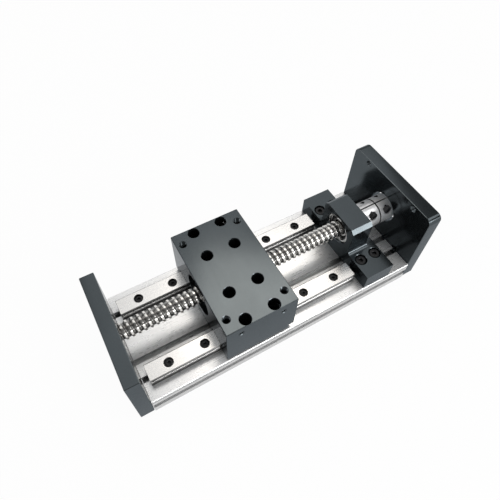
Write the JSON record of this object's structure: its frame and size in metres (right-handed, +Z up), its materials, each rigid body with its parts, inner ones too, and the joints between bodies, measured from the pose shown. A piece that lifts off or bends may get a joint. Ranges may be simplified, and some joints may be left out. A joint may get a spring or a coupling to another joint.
{
  "type": "ball screw linear rail",
  "caption": "Ball screw linear slide: a black carriage on profile rails on a slotted aluminium base, with end bearings, a clamp coupling and a motor mounting plate.",
  "frame": {"origin": "under the middle of the slide, on the face that it stands on", "axes": "+X along the rails from the idle end to the motor end, +Y across to the far side, +Z up"},
  "size_m": [0.2222, 0.08, 0.0691],
  "materials": {
    "satin_aluminium": "clear anodised, satin",
    "rail_steel": "ground",
    "rolled_steel": "rolled and polished, lightly oiled",
    "bright_steel": "turned and ground",
    "bright_aluminium": "turned, polished",
    "black_anodised": "black anodised, half gloss",
    "black_screw": "black oxide",
    "black_plastic": "moulded, matte",
    "black_seal": "moulded, matte"
  },
  "bodies": {
    "frame": {"base_extrusion": "satin_aluminium", "bearing_housing": "black_anodised", "end_plate": "black_anodised", "front_bearing_outer_ring": "bright_steel", "front_bearing_shield": "black_seal", "housing_retaining_ring": "bright_steel", "housing_screw_1": "black_screw", "housing_screw_2": "black_screw", "housing_screw_3": "black_screw", "housing_screw_4": "black_screw", "idler_bearing_outer_ring": "bright_steel", "idler_bearing_shield": "black_seal", "motor_plate": "black_anodised", "rail_far": "rail_steel", "rail_near": "rail_steel", "rail_screw_01": "black_screw", "rail_screw_02": "black_screw", "rail_screw_03": "black_screw", "rail_screw_04": "black_screw", "rail_screw_05": "black_screw", "rail_screw_06": "black_screw", "rail_screw_07": "black_screw", "rail_screw_08": "black_screw", "rail_screw_09": "black_screw", "rail_screw_10": "black_screw", "rail_screw_11": "black_screw", "rail_screw_12": "black_screw", "rear_bearing_outer_ring": "bright_steel"},
    "screw": {"ball_screw": "rolled_steel", "clamp_screw_coupling_screw_side": "black_screw", "clamp_screw_motor_shaft_side": "black_screw", "coupling": "bright_aluminium", "front_bearing_inner_ring": "bright_steel", "idler_bearing_inner_ring": "bright_steel", "idler_retaining_ring": "bright_steel", "lock_nut": "black_screw", "rear_bearing_inner_ring": "bright_steel"},
    "carriage": {"ball_nut": "bright_steel", "carriage_saddle": "black_anodised", "far_block_end_cap_left": "black_plastic", "far_block_end_cap_right": "black_plastic", "guide_block_far": "rail_steel", "guide_block_near": "rail_steel", "guide_block_screw_1": "black_screw", "guide_block_screw_2": "black_screw", "guide_block_screw_3": "black_screw", "guide_block_screw_4": "black_screw", "guide_block_screw_5": "black_screw", "guide_block_screw_6": "black_screw", "guide_block_screw_7": "black_screw", "guide_block_screw_8": "black_screw", "near_block_end_cap_left": "black_plastic", "near_block_end_cap_right": "black_plastic", "nut_key": "bright_steel", "nut_retaining_ring_left": "bright_steel", "nut_retaining_ring_right": "bright_steel", "nut_wiper_left": "black_plastic", "nut_wiper_right": "black_plastic"}
  },
  "joints": [
    {"name": "screw_spin", "type": "hinge", "parent": "frame", "child": "screw", "pos_m": [0, 0, 0.042], "axis": [1, 0, 0], "range_deg": [-4680, 4320]},
    {"name": "carriage_slide", "type": "slide", "parent": "frame", "child": "carriage", "axis": [1, 0, 0], "range_m": [-0.048, 0.052]}
  ],
  "couplings": [
    {"joint": "screw_spin", "follows": "carriage_slide", "rad_per_m": -1570.8}
  ]
}
